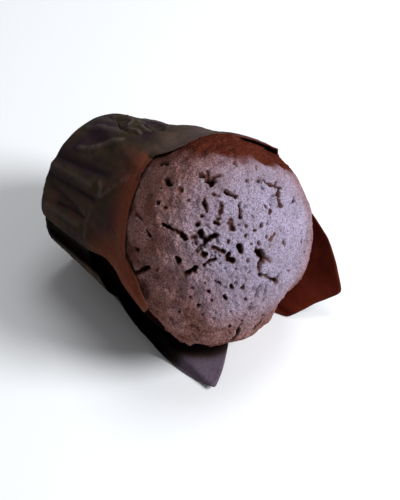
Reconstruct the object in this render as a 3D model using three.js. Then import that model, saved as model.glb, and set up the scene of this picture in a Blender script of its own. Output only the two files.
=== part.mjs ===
// A tall chocolate muffin lying on its side in the folded paper case that it was baked in.
//
// The muffin is one solid: a ribless cup-shaped body, a crust that bulges over it, and a high
// dome with baked cracks and craters. The case is one sheet of paper, cut square and pressed into
// a cup off its centre, so its four corners stand up as flaps of unequal height and its four
// sides fold into box pleats between them.
//
// Everything is worked out first in the cup's own frame, in millimetres: the origin at the centre
// of the base, the axis along +z to the dome. Angles run round the axis, seen from the dome, with
// 0 to the right and 90 up. The last step lays the cup on its side, dome towards -Y.

import * as THREE from "three";
import { mergeVertices } from "three/addons/utils/BufferGeometryUtils.js";

// The cup-shaped body of the muffin.
const BASE_RADIUS = 25.5;
const WALL_RADIUS = 33.6;
const RIM_HEIGHT = 59;
const CRUST_START = 42;
const CRUST_OVERHANG = 3.2;
const BASE_ROUNDING = 2.6;
const CRUST_RADIUS = WALL_RADIUS + CRUST_OVERHANG;

// The dent in the muffin's side under the open pleat, its angles in degrees.
const GROOVE = { angle: 181, halfWidth: 17, from: 4, to: 36, depth: 1.8 };

// Where the crust bulges most over the cup, in degrees round the axis.
const SWELL = { angle: 82, width: 34, bulge: 2.4 };

// Where the paper stands off the muffin near the base.
const PUFF = { angle: 138, width: 44, bulge: 1.7, height: 45 };

// Where the paper bulges outwards under the edge of the crust.
const BELLY = { angle: 55, width: 22, bulge: 2.6, height: 40, rise: 10 };

// Where the crust spills over the low edge of the paper, its angles in degrees.
const SPILL = { from: 52, full: 74, low: 118, to: 165, bulge: 1.8 };

// The dome over the rim: a superellipse, flatter on top than a ball.
const DOME_HEIGHT = 31;
const DOME_SHOULDER = 0.8;

// The paper, thicker than real paper so that it is a solid, and how its layers stack.
const PAPER = 0.6;
const FOLDED_PAPER = 0.42;
const LAYER = 0.95;
const CASE_GAP = 0.9;
const FLARE_SLOPE = 0.12;
const BASE_SHEET_HEIGHT = 0.4;
const BASE_GAP = 0.7;
const FOLD_NOSE = 1;
const FOLD_COVER = 2.4;
const FOLD_FADE = 6;
const STACK_END = 7;
const FOLD_START = 2.5;
const FOLD_END = 13;
const FLARE_POWER = 2;
const CURL_POWER = 8;
const OVERHANG_POWER = 6;

// How the cup lies.
const LEAN = 10;
const BASE_CENTRE_HEIGHT = 26;
const MUFFIN_BOTTOM = 1.3;
const SEAM_BOTTOM = 3;
const SEAM_X = [-5, 1, 15, 21];

// How finely the two solids are divided.
const MUFFIN_DETAIL = 18;
const DOME_SHARE = 0.78;
const WALL_SHARE = 0.95;
const DISC_ROWS = 3;
const CORNER_ROWS = 2;
const WALL_ROWS = 11;
const CASE_CORNER = 2.4;

const SEED = 7;

const radians = THREE.MathUtils.degToRad;
const { clamp, lerp, smoothstep } = THREE.MathUtils;

// A repeatable random number from 0 to 1 for a point of the whole-number lattice.
function latticeValue(x, y, z) {
  const mixed = Math.sin(x * 127.1 + y * 311.7 + z * 74.7 + SEED * 19.19) * 43758.5453;
  return mixed - Math.floor(mixed);
}

// Smooth noise from -1 to 1, with bumps about as wide as size.
function noise(point, size) {
  const p = point.clone().divideScalar(size);
  const corner = p.clone().floor();
  const f = p.clone().sub(corner);
  const ease = (t) => t * t * (3 - 2 * t);
  let sum = 0;
  for (const dx of [0, 1]) {
    for (const dy of [0, 1]) {
      for (const dz of [0, 1]) {
        const weight =
          (dx ? ease(f.x) : 1 - ease(f.x)) *
          (dy ? ease(f.y) : 1 - ease(f.y)) *
          (dz ? ease(f.z) : 1 - ease(f.z));
        sum += weight * latticeValue(corner.x + dx, corner.y + dy, corner.z + dz);
      }
    }
  }
  return 2 * sum - 1;
}

// The swollen lobes of the rim: the crust has spread unevenly over the edge of the cup.
function rimLobes(angle) {
  const ripple = 0.3 * Math.sin(3 * angle + 0.6) + 0.2 * Math.sin(5 * angle + 2.1) + 0.15 * Math.sin(9 * angle);
  return ripple + swelling(SWELL, angle);
}

// Radius of the muffin's side at a height over its base, with the crust bulging out at the top.
function sideRadius(height, angle) {
  const h = clamp(height, 0, RIM_HEIGHT);
  const cup = lerp(BASE_RADIUS, WALL_RADIUS, h / RIM_HEIGHT);
  return cup + (CRUST_OVERHANG + rimLobes(angle)) * smoothstep(h, CRUST_START, RIM_HEIGHT);
}

// How far a swelling stands out at an angle in radians, for a swelling named in degrees.
function swelling({ angle: middle, width, bulge }, angle) {
  const away = angle - radians(middle);
  return bulge * Math.exp(-((Math.atan2(Math.sin(away), Math.cos(away)) / radians(width)) ** 2));
}

// Radius of the paper's innermost layer, which goes on as a cone above the crust.
function caseRadius(height, angle) {
  const puff = swelling(PUFF, angle) * (1 - smoothstep(height, 0, PUFF.height));
  const belly = swelling(BELLY, angle) * Math.exp(-(((height - BELLY.height) / BELLY.rise) ** 2));
  return sideRadius(height, angle) + puff + belly + CASE_GAP + FLARE_SLOPE * Math.max(0, height - RIM_HEIGHT);
}

// Height of the paper's free edge at an angle round the axis, in degrees.
function paperEdge(degrees) {
  const ends = FLAPS.flatMap(({ lines }) => lines.map(([end, height]) => [end, height]));
  for (let i = 1; i < ends.length; i += 1) {
    const [a, low] = ends[i - 1];
    const [b, high] = ends[i];
    if (degrees >= a && degrees <= b) return lerp(low, high, (degrees - a) / (b - a || 1));
  }
  return RIM_HEIGHT;
}

// How far the crust has spilled over the paper's edge, where that edge is low.
function crustSpill(height, degrees) {
  const { from, full, low, to, bulge } = SPILL;
  const around = smoothstep(degrees, from, full) * (1 - smoothstep(degrees, low, to));
  const edge = paperEdge(degrees);
  return bulge * around * smoothstep(height, edge + 0.8, edge + 6);
}

// Baked cracks and craters of the dome, in millimetres right and up of the axis, seen from the
// dome. Each is a run of points with a width and a depth.
const CRACKS = [
  { name: "great crater", points: [[-22, 24], [-18, 22]], width: 4.6, depth: 4.2 },
  { name: "long split", points: [[-27, 27], [-21, 24]], width: 2.6, depth: 2.6 },
  { name: "right crater", points: [[-5, 12], [-3, 9]], width: 4.2, depth: 4 },
  { name: "right split", points: [[-5, 8], [-6, 4], [0, -4]], width: 2.6, depth: 2.4 },
  { name: "upper split", points: [[4, 29], [9, 25], [4, 20]], width: 2.4, depth: 2.4 },
  { name: "star crater", points: [[-8, 34], [-4, 34]], width: 3, depth: 2.6 },
  { name: "rim hole", points: [[-14, 34], [-13, 33]], width: 3, depth: 2.4 },
  { name: "grey pit", points: [[-7, 25], [-6, 23]], width: 3.2, depth: 2.8 },
  { name: "middle split", points: [[-13, 30], [-14, 27]], width: 2.6, depth: 2.2 },
  { name: "middle crater", points: [[-11, 17], [-10, 14]], width: 3.4, depth: 3 },
  { name: "edge crater", points: [[-34, 14], [-31, 12]], width: 4, depth: 3.2 },
  { name: "side hole", points: [[-28, 16], [-26, 15]], width: 3.4, depth: 2.8 },
  { name: "low splits", points: [[-26, 8], [-20, 8], [-16, 6]], width: 2.4, depth: 1.8 },
  { name: "far crater", points: [[14, 21], [16, 18]], width: 2.6, depth: 2 },
  { name: "front split", points: [[8, -14], [3, -20], [5, -26]], width: 2.8, depth: 2.4 },
  { name: "right side split", points: [[22, 4], [26, -4]], width: 2.8, depth: 2.2 },
  { name: "low side split", points: [[-14, -18], [-8, -24]], width: 3, depth: 2.4 },
];

// The smooth dome's point at a place right and up of the axis.
function domePoint(x, y) {
  const sine = Math.min(1, Math.hypot(x, y) / CRUST_RADIUS) ** (1 / DOME_SHOULDER);
  return new THREE.Vector3(x, y, RIM_HEIGHT + DOME_HEIGHT * Math.sqrt(1 - sine * sine));
}

const CRACK_RUNS = CRACKS.map(({ points, width, depth }) => {
  const spots = points.map(([x, y]) => domePoint(x, y));
  const lines = spots.slice(1).map((spot, i) => new THREE.Line3(spots[i], spot));
  return { lines, width, depth };
});

// How deep the crust has sunk at a point of the dome.
function crackDepth(point) {
  const nearest = new THREE.Vector3();
  let deepest = 0;
  for (const { lines, width, depth } of CRACK_RUNS) {
    for (const line of lines) {
      const distance = line.closestPointToPoint(point, true, nearest).distanceTo(point);
      deepest = Math.max(deepest, depth * (1 - smoothstep(distance, 0.15 * width, width)));
    }
  }
  return deepest;
}

// The muffin is dented where the open pleat of the paper was pressed into it.
function grooveDepth(height, degrees) {
  const { angle, halfWidth, from, to, depth } = GROOVE;
  const across = 1 - smoothstep(Math.abs(degrees - angle), 0.4 * halfWidth, halfWidth);
  return depth * across * smoothstep(height, 0, from) * (1 - smoothstep(height, to, to + 6));
}

// A point of the muffin's skin for a direction from its middle. Shares of the sphere go to the
// dome, the side and the base, so that the dome has the most and the smallest triangles.
function muffinPoint(direction) {
  const share = (1 - clamp(direction.z, -1, 1)) / 2;
  const angle = Math.atan2(direction.y, direction.x);
  const degrees = (THREE.MathUtils.radToDeg(angle) + 360) % 360;
  let radius;
  let height;
  let relief = 0;
  if (share < DOME_SHARE) {
    const swing = Math.sqrt(share / DOME_SHARE) * (Math.PI / 2);
    height = RIM_HEIGHT + DOME_HEIGHT * Math.cos(swing);
    radius = CRUST_RADIUS * Math.sin(swing) ** DOME_SHOULDER;
    radius += (rimLobes(angle) + crustSpill(RIM_HEIGHT, degrees)) * smoothstep(swing, 0.7, 1.4);
    relief = 1 - smoothstep(swing, 1.35, 1.5);
  } else if (share < WALL_SHARE) {
    height = RIM_HEIGHT * (1 - (share - DOME_SHARE) / (WALL_SHARE - DOME_SHARE));
    const up = clamp(height / BASE_ROUNDING, 0, 1);
    radius = sideRadius(height, angle) - BASE_ROUNDING * (1 - Math.sqrt(up * (2 - up)));
    radius += crustSpill(height, degrees) - grooveDepth(height, degrees);
  } else {
    height = 0;
    radius = (BASE_RADIUS - BASE_ROUNDING) * Math.sqrt((1 - share) / (1 - WALL_SHARE));
  }
  const point = new THREE.Vector3(radius * Math.cos(angle), radius * Math.sin(angle), height);
  if (relief > 0) {
    const inward = new THREE.Vector3(0, 0, RIM_HEIGHT - 6).sub(point).normalize();
    const lumps = 0.45 * noise(point, 9) + 0.3 * noise(point, 4);
    point.addScaledVector(inward, relief * (crackDepth(point) - lumps));
  }
  point.z += BASE_SHEET_HEIGHT + BASE_GAP;
  return point;
}

// From the cup's frame to the table: the cup lies with its dome towards -Y and a little up.
const LEAN_COS = Math.cos(radians(LEAN));
const LEAN_SIN = Math.sin(radians(LEAN));

function lay(point) {
  return new THREE.Vector3(
    point.x,
    LEAN_SIN * point.y - LEAN_COS * point.z,
    BASE_CENTRE_HEIGHT + LEAN_COS * point.y + LEAN_SIN * point.z,
  );
}

// How low the muffin may sink: it is pressed flat by its weight, more so where the paper under it
// is folded.
function muffinBottom(local) {
  const [a, b, c, d] = SEAM_X;
  const fold = smoothstep(local.x, a, b) * (1 - smoothstep(local.x, c, d));
  return lerp(MUFFIN_BOTTOM, SEAM_BOTTOM, fold * (1 - smoothstep(local.z, RIM_HEIGHT, RIM_HEIGHT + 5)));
}

function makeMuffin() {
  const ball = new THREE.IcosahedronGeometry(1, MUFFIN_DETAIL);
  ball.deleteAttribute("normal");
  ball.deleteAttribute("uv");
  const geometry = mergeVertices(ball, 1e-5);
  const positions = geometry.getAttribute("position");
  const direction = new THREE.Vector3();
  for (let i = 0; i < positions.count; i += 1) {
    direction.fromBufferAttribute(positions, i).normalize();
    const local = muffinPoint(direction);
    const point = lay(local);
    point.z = Math.max(point.z, muffinBottom(local));
    positions.setXYZ(i, point.x, point.y, point.z);
  }
  geometry.computeVertexNormals();
  return geometry;
}

// The four flaps, in order round the axis. Each row is one line of the sheet from the base to its
// free edge: the angle and height of its end, how far that end stands out, its angle at the base
// and, where the line swings round to reach an overhanging end, how late it does so. The first and
// the last line of a flap are creases.
const FLAPS = [
  {
    name: "upper flap",
    lines: [
      [7, 58, 0, 12], [20, 61, 0, 24], [30, 63.5, 0.3, 28], [40, 67, 0, 33], [48, 69.5, -1.2, 38],
      [60, 61, 0, 43], [70, 54, 0, 48], [82, 48.5, 0, 53], [97.6, 42, 0, 65],
    ],
  },
  {
    name: "left flap",
    lines: [
      [100.6, 42, 0, 79], [118, 45, 0, 94], [137, 49, 0, 108], [150, 52, 0, 118], [158, 55, 0, 125, 1.2], [163, 61, -0.2, 131, 1.6],
      [169, 66.5, -0.6, 137, 2], [176, 68.5, -0.74, 142, 2.5], [181.5, 66, -0.74, 146, 4], [177.5, 61.5, -0.3, 150, 4],
      [174, 56, 0, 154, 4], [172, 49, 0, 158, 4], [171, 42, 0, 163, 3], [175, 29.5, 0, 172],
    ],
  },
  {
    name: "table flap",
    lines: [
      [188, 37.5, 0.8, 186], [202, 43, 1.5, 199], [214, 48, 3.5, 205], [226, 52.5, 5.9, 211], [232, 58.5, 8, 217],
      [235, 67.5, 9.6, 223], [236, 80.3, 6.4, 229], [244, 77, 2.5, 238], [252, 73, 1, 246],
      [260, 69, 0, 255], [268, 62, 0, 262], [281, 56, 0, 275],
    ],
  },
  {
    name: "right flap",
    lines: [
      [285, 58, 0, 291], [295.5, 81, 1.4, 302], [305, 85.5, 2.6, 309], [315, 90, 4, 316],
      [326, 85, 2.4, 326], [338, 79.5, 1, 336], [349, 71, 0.6, 346], [363, 58, 0, 358],
    ],
  },
];

// The box pleats, each between a flap and the next: how far the paper is folded back under both
// flaps, in degrees, and how many layers its bottom sinks below the paper's innermost layer. The
// pleat between the left flap and the table flap gapes open.
const PLEATS = [
  { arc: 7, sink: 0 },
  { arc: 5, sink: 1.5 },
  { arc: 7, sink: 0 },
  { arc: 7, sink: 0 },
];

// A line of a flap, from its angle at the base to the angle of its end.
function flapLine([end, height, flare, start, swing = 1]) {
  const bend = flare < 0 ? CURL_POWER : FLARE_POWER;
  return {
    height,
    start,
    angleAt: (h) => lerp(start, end, (h / height) ** swing),
    flareAt: (h) => flare * (h / height) ** bend,
  };
}

// A flap's lines, with the arcs of the pleats before and after it. Near its creases the flap lies
// on top of the folded paper, else on the muffin.
function flapLines({ lines }, before, after) {
  const made = lines.map(flapLine);
  const [first, last] = [made[0], made.at(-1)];
  const all = [
    first,
    shoulderLine(first, made[1], before + FOLD_COVER),
    ...made.slice(1, -1),
    shoulderLine(last, made.at(-2), -after - FOLD_COVER),
    last,
  ];
  return all.map((line) => {
    const past = (h) =>
      Math.min(line.angleAt(h) - first.angleAt(h) - before, last.angleAt(h) - line.angleAt(h) - after);
    return { ...line, layersAt: (h) => 2 - 1.8 * smoothstep(past(h), FOLD_COVER, FOLD_COVER + FOLD_FADE) };
  });
}

// A line inside a box pleat: it follows one crease, or the middle of two, at an offset round the
// axis which opens up once the paper's layers have parted over the base.
function pleatLine(creases, offset, height, start, layers) {
  const middle = (value) => creases.reduce((sum, crease) => sum + value(crease), 0) / creases.length;
  const startOffset = start - middle((crease) => crease.start);
  return {
    height,
    start,
    folded: true,
    angleAt: (h) =>
      middle((crease) => crease.angleAt(h)) + lerp(startOffset, offset, smoothstep(h, FOLD_START, FOLD_END)),
    layersAt: () => layers,
    flareAt: (h) => clamp(layers, 0, 1) * middle((crease) => crease.flareAt(h)),
  };
}

// The line on a flap that covers the end of the folded paper under it, at an offset from a crease.
// Where the flap overhangs the crease, it turns with the next line to the overhanging edge.
function shoulderLine(crease, neighbour, offset) {
  const end = crease.angleAt(crease.height);
  const nextEnd = neighbour.angleAt(neighbour.height);
  const overhangs = Math.abs(nextEnd - end) < Math.abs(offset) || (nextEnd - end) * offset < 0;
  const share = overhangs ? 0.4 : offset / (nextEnd - end);
  const height = lerp(crease.height, neighbour.height, share);
  const start = crease.start + 0.5 * offset;
  const creaseFlare = crease.flareAt(crease.height);
  const flare = Math.max(creaseFlare, lerp(creaseFlare, neighbour.flareAt(neighbour.height), share));
  const line = pleatLine([crease], offset, height, start, 2);
  const turn = overhangs ? lerp(end, nextEnd, share) - end - offset : 0;
  return {
    ...line,
    folded: false,
    angleAt: (h) => line.angleAt(h) + turn * (h / height) ** OVERHANG_POWER,
    flareAt: (h) => flare * (h / height) ** FLARE_POWER,
  };
}

// The lines of the box pleat between two creases: under one flap, across, and under the other.
function pleatLines(crease1, crease2, { arc, sink }) {
  const bridge = Math.min(crease1.height, crease2.height) - 1.5;
  const steps = [
    [[crease1], FOLD_NOSE, crease1.height, 1.5],
    [[crease1], 0, crease1.height - 0.4, 1],
    [[crease1], -arc, crease1.height - 1, 1],
    [[crease1], -arc - FOLD_NOSE, bridge, 0.5],
    [[crease1], -arc, bridge, 0],
    [[crease1, crease2], 0, bridge, -sink],
    [[crease2], arc, bridge, 0],
    [[crease2], arc + FOLD_NOSE, bridge, 0.5],
    [[crease2], arc, crease2.height - 1, 1],
    [[crease2], 0, crease2.height - 0.4, 1],
    [[crease2], -FOLD_NOSE, crease2.height, 1.5],
  ];
  return steps.map(([creases, offset, height, layers], step) => {
    const start = lerp(crease1.start, crease2.start, (step + 1) / (steps.length + 1));
    return pleatLine(creases, offset, height, start, layers);
  });
}

// The same line one turn further round.
function turned(line) {
  return { ...line, start: line.start + 360, angleAt: (h) => line.angleAt(h) + 360 };
}

// The lines of all flaps with the folded lines of the pleats between them.
function sheetLines() {
  const flaps = FLAPS.map((flap, i) => flapLines(flap, PLEATS.at(i - 1).arc, PLEATS[i].arc));
  return flaps.flatMap((lines, i) => {
    const next = i + 1 < flaps.length ? flaps[i + 1][0] : turned(flaps[0][0]);
    return [...lines, ...pleatLines(lines.at(-1), next, PLEATS[i])];
  });
}

// A point of the sheet's middle surface on a line, at a height over the base.
function wallPoint(line, height) {
  const angle = radians(line.angleAt(height));
  const stack = line.layersAt(height) * LAYER * smoothstep(height, 0, STACK_END);
  const radius = caseRadius(height, angle) + stack + line.flareAt(height);
  return new THREE.Vector3(radius * Math.cos(angle), radius * Math.sin(angle), height + BASE_SHEET_HEIGHT);
}

function basePoint(line, radius, height) {
  const angle = radians(line.start);
  return new THREE.Vector3(radius * Math.cos(angle), radius * Math.sin(angle), height);
}

// The rows of one line: across the base, round its edge, up the wall.
function linePoints(line) {
  const flat = caseRadius(0, 0) - CASE_CORNER;
  const points = [];
  for (let i = 1; i <= DISC_ROWS; i += 1) {
    points.push(basePoint(line, (flat * i) / DISC_ROWS, BASE_SHEET_HEIGHT));
  }
  const bend = CASE_CORNER;
  for (let i = 1; i <= CORNER_ROWS; i += 1) {
    const a = (i / (CORNER_ROWS + 1)) * (Math.PI / 2);
    const up = bend * (1 - Math.cos(a));
    points.push(basePoint(line, flat + bend * Math.sin(a), BASE_SHEET_HEIGHT + up));
  }
  for (let i = 0; i <= WALL_ROWS; i += 1) {
    points.push(wallPoint(line, lerp(bend, line.height, i / WALL_ROWS)));
  }
  return points;
}

// Half the paper's thickness on a line. Folded paper is pressed thinner, most of all where the
// folds begin.
function halfThickness(line, row) {
  if (!line.folded || row < DISC_ROWS) return PAPER / 2;
  const firstFold = DISC_ROWS + CORNER_ROWS;
  return (FOLDED_PAPER / 2) * lerp(0.3, 1, smoothstep(row, firstFold, firstFold + 2));
}

// The sheet's middle surface as rows of points and triangles, with one point at the base's centre.
function sheetSurface(lines) {
  const columns = lines.map((line) =>
    linePoints(line).map((local) => {
      const point = lay(local);
      const under = line.folded ? (2 - Math.max(line.layersAt(), 0)) * LAYER : 0;
      point.z = Math.max(point.z, PAPER / 2 + under);
      return point;
    }),
  );
  const rows = columns[0].length;
  const positions = [...lay(new THREE.Vector3(0, 0, BASE_SHEET_HEIGHT)).toArray()];
  for (const column of columns) {
    for (const point of column) positions.push(...point.toArray());
  }
  const at = (column, row) => 1 + (column % columns.length) * rows + row;
  const gap = (a, b) => Math.hypot(...[0, 1, 2].map((k) => positions[3 * a + k] - positions[3 * b + k]));
  const triangles = [];
  for (let c = 0; c < columns.length; c += 1) {
    triangles.push(0, at(c + 1, 0), at(c, 0));
    for (let r = 0; r < rows - 1; r += 1) {
      const [a, b, d, e] = [at(c, r), at(c + 1, r), at(c + 1, r + 1), at(c, r + 1)];
      if (gap(a, d) < gap(b, e)) triangles.push(a, b, d, a, d, e);
      else triangles.push(a, b, e, b, d, e);
    }
  }
  const edge = columns.map((_, c) => at(c, rows - 1));
  const halves = [PAPER / 2, ...lines.flatMap((line) => columns[0].map((_, row) => halfThickness(line, row)))];
  return { positions, triangles, edge, halves };
}

function makeCase() {
  const { positions, triangles, edge, halves } = sheetSurface(sheetLines());
  const middle = new THREE.BufferGeometry();
  middle.setAttribute("position", new THREE.Float32BufferAttribute(positions, 3));
  middle.setIndex(triangles);
  middle.computeVertexNormals();
  const normals = middle.getAttribute("normal");
  const count = halves.length;
  const both = [];
  for (const side of [1, -1]) {
    for (let i = 0; i < count; i += 1) {
      const reach = side * halves[i];
      both.push(
        positions[3 * i] + reach * normals.getX(i),
        positions[3 * i + 1] + reach * normals.getY(i),
        positions[3 * i + 2] + reach * normals.getZ(i),
      );
    }
  }
  const faces = [...triangles];
  for (let i = 0; i < triangles.length; i += 3) {
    faces.push(triangles[i] + count, triangles[i + 2] + count, triangles[i + 1] + count);
  }
  edge.forEach((a, c) => {
    const b = edge[(c + 1) % edge.length];
    faces.push(a, b, a + count, b, b + count, a + count);
  });
  const geometry = new THREE.BufferGeometry();
  geometry.setAttribute("position", new THREE.Float32BufferAttribute(both, 3));
  geometry.setIndex(faces);
  geometry.computeVertexNormals();
  return geometry;
}

const crust = new THREE.MeshStandardMaterial({ color: 0x6b4a3f, roughness: 0.85, metalness: 0 });
const paper = new THREE.MeshStandardMaterial({ color: 0x33201a, roughness: 0.6, metalness: 0 });

const muffin = new THREE.Mesh(makeMuffin(), crust);
muffin.name = "muffin";
const paperCase = new THREE.Mesh(makeCase(), paper);
paperCase.name = "paper_case";

const part = new THREE.Group();
part.add(muffin, paperCase);

// The origin is under the middle of the whole part, on the table.
const box = new THREE.Box3().setFromObject(part);
const middle = box.getCenter(new THREE.Vector3());
for (const { geometry } of part.children) geometry.translate(-middle.x, -middle.y, -box.min.z);

export default part;
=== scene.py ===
# %% [markdown]
# # A chocolate muffin lying in its folded paper case
# A tall muffin has been laid on its side while it is still in its tulip case, one square of brown
# greaseproof paper pressed into a cup. The CAD part gives the place and the size of both. This
# script makes the finished crust and the finished paper over it, in the same frame, in metres.

import bpy
import numpy as np
from mathutils import Matrix, Vector


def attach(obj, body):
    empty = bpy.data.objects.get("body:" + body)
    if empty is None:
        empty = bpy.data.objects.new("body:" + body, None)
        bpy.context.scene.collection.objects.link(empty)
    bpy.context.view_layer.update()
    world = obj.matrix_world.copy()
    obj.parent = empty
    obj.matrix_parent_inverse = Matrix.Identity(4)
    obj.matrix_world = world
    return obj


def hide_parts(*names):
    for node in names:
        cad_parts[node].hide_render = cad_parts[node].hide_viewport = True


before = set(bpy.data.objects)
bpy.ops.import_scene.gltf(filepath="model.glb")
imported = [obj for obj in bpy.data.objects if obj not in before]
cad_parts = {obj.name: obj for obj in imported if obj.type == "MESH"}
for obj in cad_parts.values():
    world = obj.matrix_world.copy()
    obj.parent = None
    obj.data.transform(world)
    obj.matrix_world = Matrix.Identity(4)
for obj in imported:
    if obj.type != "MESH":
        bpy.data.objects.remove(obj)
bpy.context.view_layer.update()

# %% [markdown]
# ## The camera
# The photograph looks down on the muffin by 47 degrees and meets the dome from the left. A long
# lens from 45 cm away gives the same perspective. The small shift only moves the picture's frame,
# so the muffin sits where it does in the photograph without turning the camera.

# %% The camera
AZIMUTH = np.radians(-46.0)
ELEVATION = np.radians(47.0)
AIM = Vector((-0.00061, 0.00256, 0.035))
DISTANCE = 0.45
SENSOR = 36.0
FOCAL_SHARE = 1272 / 500
SHIFT_X = 23 / 500
SHIFT_Y = -30.5 / 500

level = np.cos(ELEVATION)
view_back = Vector((np.sin(AZIMUTH) * level, -np.cos(AZIMUTH) * level, np.sin(ELEVATION)))
view_right = Vector((np.cos(AZIMUTH), np.sin(AZIMUTH), 0))
view_up = view_back.cross(view_right)

camera_data = bpy.data.cameras.new("camera")
camera_data.sensor_width = SENSOR
camera_data.lens = FOCAL_SHARE * SENSOR
camera_data.shift_x = SHIFT_X
camera_data.shift_y = SHIFT_Y
camera = bpy.data.objects.new("camera", camera_data)
view_turn = Matrix((view_right, view_up, view_back)).transposed().to_4x4()
camera.matrix_world = Matrix.Translation(AIM + DISTANCE * view_back) @ view_turn
bpy.context.collection.objects.link(camera)
bpy.context.scene.camera = camera
print("camera at", [round(v, 3) for v in camera.location], "lens", round(camera_data.lens, 1), "mm")

# %% [markdown]
# ## Floor and light
# One large cool light stands to the upper right of the dome, so the dome is bright and the paper
# behind it dark. An area lamp makes such soft light. A weaker lamp from above and a weak world fill
# the shadows. The floor is plain and pale.


# %% Floor and light
def new_material(name):
    material = bpy.data.materials.new(name)
    material.use_nodes = True
    return material, material.node_tree


def area_light(name, direction, distance, size, watts, color):
    lamp = bpy.data.lights.new(name, "AREA")
    lamp.shape = "DISK"
    lamp.size = size
    lamp.energy = watts
    lamp.color = color
    holder = bpy.data.objects.new(name, lamp)
    away = direction.normalized()
    holder.location = AIM + distance * away
    holder.rotation_euler = away.to_track_quat("Z", "Y").to_euler()
    bpy.context.collection.objects.link(holder)


FLOOR_SIZE = 3
FLOOR_HEIGHT = -0.0002
FLOOR_COLOR = (0.9, 0.9, 0.9, 1)
SKY_COLOR = (0.95, 0.96, 1, 1)
SKY_STRENGTH = 0.22
KEY_DIRECTION = 0.76 * view_right + 0.26 * view_up + 0.55 * view_back
TOP_DIRECTION = 0.1 * view_right + 0.9 * view_up + 0.5 * view_back

bpy.ops.mesh.primitive_plane_add(size=FLOOR_SIZE, location=(0, 0, FLOOR_HEIGHT))
floor = bpy.context.active_object
floor.name = "floor"
floor_material, tree = new_material("floor")
tree.nodes["Principled BSDF"].inputs["Base Color"].default_value = FLOOR_COLOR
tree.nodes["Principled BSDF"].inputs["Roughness"].default_value = 0.9
floor.data.materials.append(floor_material)

world = bpy.data.worlds.new("studio")
world.use_nodes = True
world.node_tree.nodes["Background"].inputs["Color"].default_value = SKY_COLOR
world.node_tree.nodes["Background"].inputs["Strength"].default_value = SKY_STRENGTH
bpy.context.scene.world = world

area_light("key", KEY_DIRECTION, distance=0.9, size=0.4, watts=10.6, color=(0.93, 0.96, 1))
area_light("top", TOP_DIRECTION, distance=1.1, size=0.6, watts=4, color=(0.95, 0.97, 1))
bpy.context.scene.view_settings.view_transform = "Standard"
print("key light from", [round(v, 2) for v in KEY_DIRECTION.normalized()])

# %% [markdown]
# ## Helpers for shapes
# Baked crust and crumpled paper are uneven at every size, so both are shaped with smooth noise: a
# repeatable random value at each corner of a grid, blended in between. Working on all points of a
# mesh at once keeps it fast.


# %% Helpers for shapes
SEED = 7


def ease(t):
    return t * t * (3 - 2 * t)


def smoothstep(value, low, high):
    return ease(np.clip((value - low) / (high - low), 0, 1))


def lerp(a, b, t):
    return a + (b - a) * t


def lattice_value(x, y, z, seed=SEED):
    mixed = np.sin(x * 127.1 + y * 311.7 + z * 74.7 + seed * 19.19) * 43758.5453
    return mixed - np.floor(mixed)


def noise(points, size, seed=SEED):
    """Smooth noise from -1 to 1 at rows of points, with bumps about as wide as size."""
    scaled = points / size
    corner = np.floor(scaled)
    f = scaled - corner
    eased = ease(f)
    total = np.zeros(len(points))
    for dx in (0, 1):
        for dy in (0, 1):
            for dz in (0, 1):
                weight = np.ones(len(points))
                for axis, step in enumerate((dx, dy, dz)):
                    weight *= eased[:, axis] if step else 1 - eased[:, axis]
                total += weight * lattice_value(*(corner + (dx, dy, dz)).T, seed)
    return 2 * total - 1


def noise_vector(points, size, seed=SEED):
    return np.stack([noise(points, size, seed + 11 * axis) for axis in (1, 2, 3)], axis=1)


def mesh_points(piece):
    points = np.empty(3 * len(piece.data.vertices))
    piece.data.vertices.foreach_get("co", points)
    return points.reshape(-1, 3)


def set_mesh_points(piece, points):
    piece.data.vertices.foreach_set("co", np.ascontiguousarray(points, dtype=np.float32).ravel())
    piece.data.update()


def set_attribute(piece, name, values):
    attribute = piece.data.attributes.new(name, "FLOAT", "POINT")
    attribute.data.foreach_set("value", np.ascontiguousarray(values, dtype=np.float32))


def select_only(piece):
    bpy.ops.object.select_all(action="DESELECT")
    piece.select_set(True)
    bpy.context.view_layer.objects.active = piece


print("noise of three points", np.round(noise(np.array([[0.5, 1, 2], [3, 4, 5], [6.2, 7, 8]]), 2), 3))

# %% [markdown]
# ## The cup's own frame
# Both pieces are easiest to describe standing up: the middle of the base at the origin, the axis
# along z to the dome, sizes in millimetres. The last step lays each point on its side, leaning
# back by 10 degrees, and moves it to its place on the table.

# %% The cup's own frame
BASE_RADIUS = 25.5
WALL_RADIUS = 33.6
RIM_HEIGHT = 59.0
CRUST_START = 42.0
CRUST_OVERHANG = 3.2
BASE_ROUNDING = 2.6
CRUST_RADIUS = WALL_RADIUS + CRUST_OVERHANG
BASE_LIFT = 1.1
LEAN = np.radians(10)
BASE_CENTRE_HEIGHT = 26.0
CENTRING = np.array([-0.608, 45.258, 0.0])
SWELL = {"angle": 82, "width": 34, "bulge": 2.4}
PUFF = {"angle": 138, "width": 44, "bulge": 1.7, "height": 45}
BELLY = {"angle": 55, "width": 22, "bulge": 2.6, "height": 40, "rise": 10}


def lay(points):
    x, y, z = points.T
    along = np.sin(LEAN) * y - np.cos(LEAN) * z
    up = BASE_CENTRE_HEIGHT + np.cos(LEAN) * y + np.sin(LEAN) * z
    return np.stack([x, along, up], axis=1) + CENTRING


def swelling(shape, angle):
    away = angle - np.radians(shape["angle"])
    away = np.arctan2(np.sin(away), np.cos(away))
    return shape["bulge"] * np.exp(-((away / np.radians(shape["width"])) ** 2))


def rim_lobes(angle):
    ripple = 0.3 * np.sin(3 * angle + 0.6) + 0.2 * np.sin(5 * angle + 2.1) + 0.15 * np.sin(9 * angle)
    return ripple + swelling(SWELL, angle)


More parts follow.
